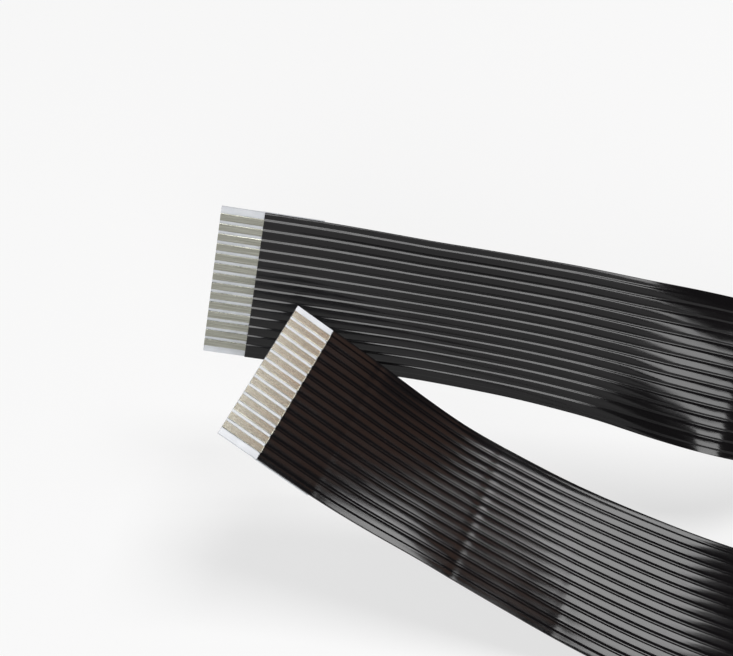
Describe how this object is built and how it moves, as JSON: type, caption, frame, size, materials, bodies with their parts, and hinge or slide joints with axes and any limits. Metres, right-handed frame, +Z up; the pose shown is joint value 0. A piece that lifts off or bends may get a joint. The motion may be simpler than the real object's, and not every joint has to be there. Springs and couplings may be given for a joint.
{
  "type": "flat flex cable",
  "caption": "Flat flex cable: flat conductors between two black ribbed films, bare contacts at both ends on opposite faces, each with a pale stiffener, curving in a free U-turn.",
  "frame": {"origin": "Middle of the underside of the box round the cable, on the surface that it stands on.", "axes": "+X runs from the two tips towards the U-turn, +Z is up, and the far leg lies on the +Y side."},
  "size_m": [0.1084, 0.0516, 0.0316],
  "materials": {
    "black_film": "glossy black polyester film, ribbed over the conductors",
    "white_tape": "satin, pale bluish-grey polyester tape",
    "tinned_copper": "dull tin plating, streaked lengthwise"
  },
  "bodies": {
    "root": {"front_film": "black_film", "back_film": "black_film", "far_stiffener": "white_tape", "near_stiffener": "white_tape", "conductor_01": "tinned_copper", "conductor_02": "tinned_copper", "conductor_03": "tinned_copper", "conductor_04": "tinned_copper", "conductor_05": "tinned_copper", "conductor_06": "tinned_copper", "conductor_07": "tinned_copper", "conductor_08": "tinned_copper", "conductor_09": "tinned_copper", "conductor_10": "tinned_copper", "conductor_11": "tinned_copper", "conductor_12": "tinned_copper", "conductor_13": "tinned_copper", "conductor_14": "tinned_copper"}
  },
  "joints": []
}
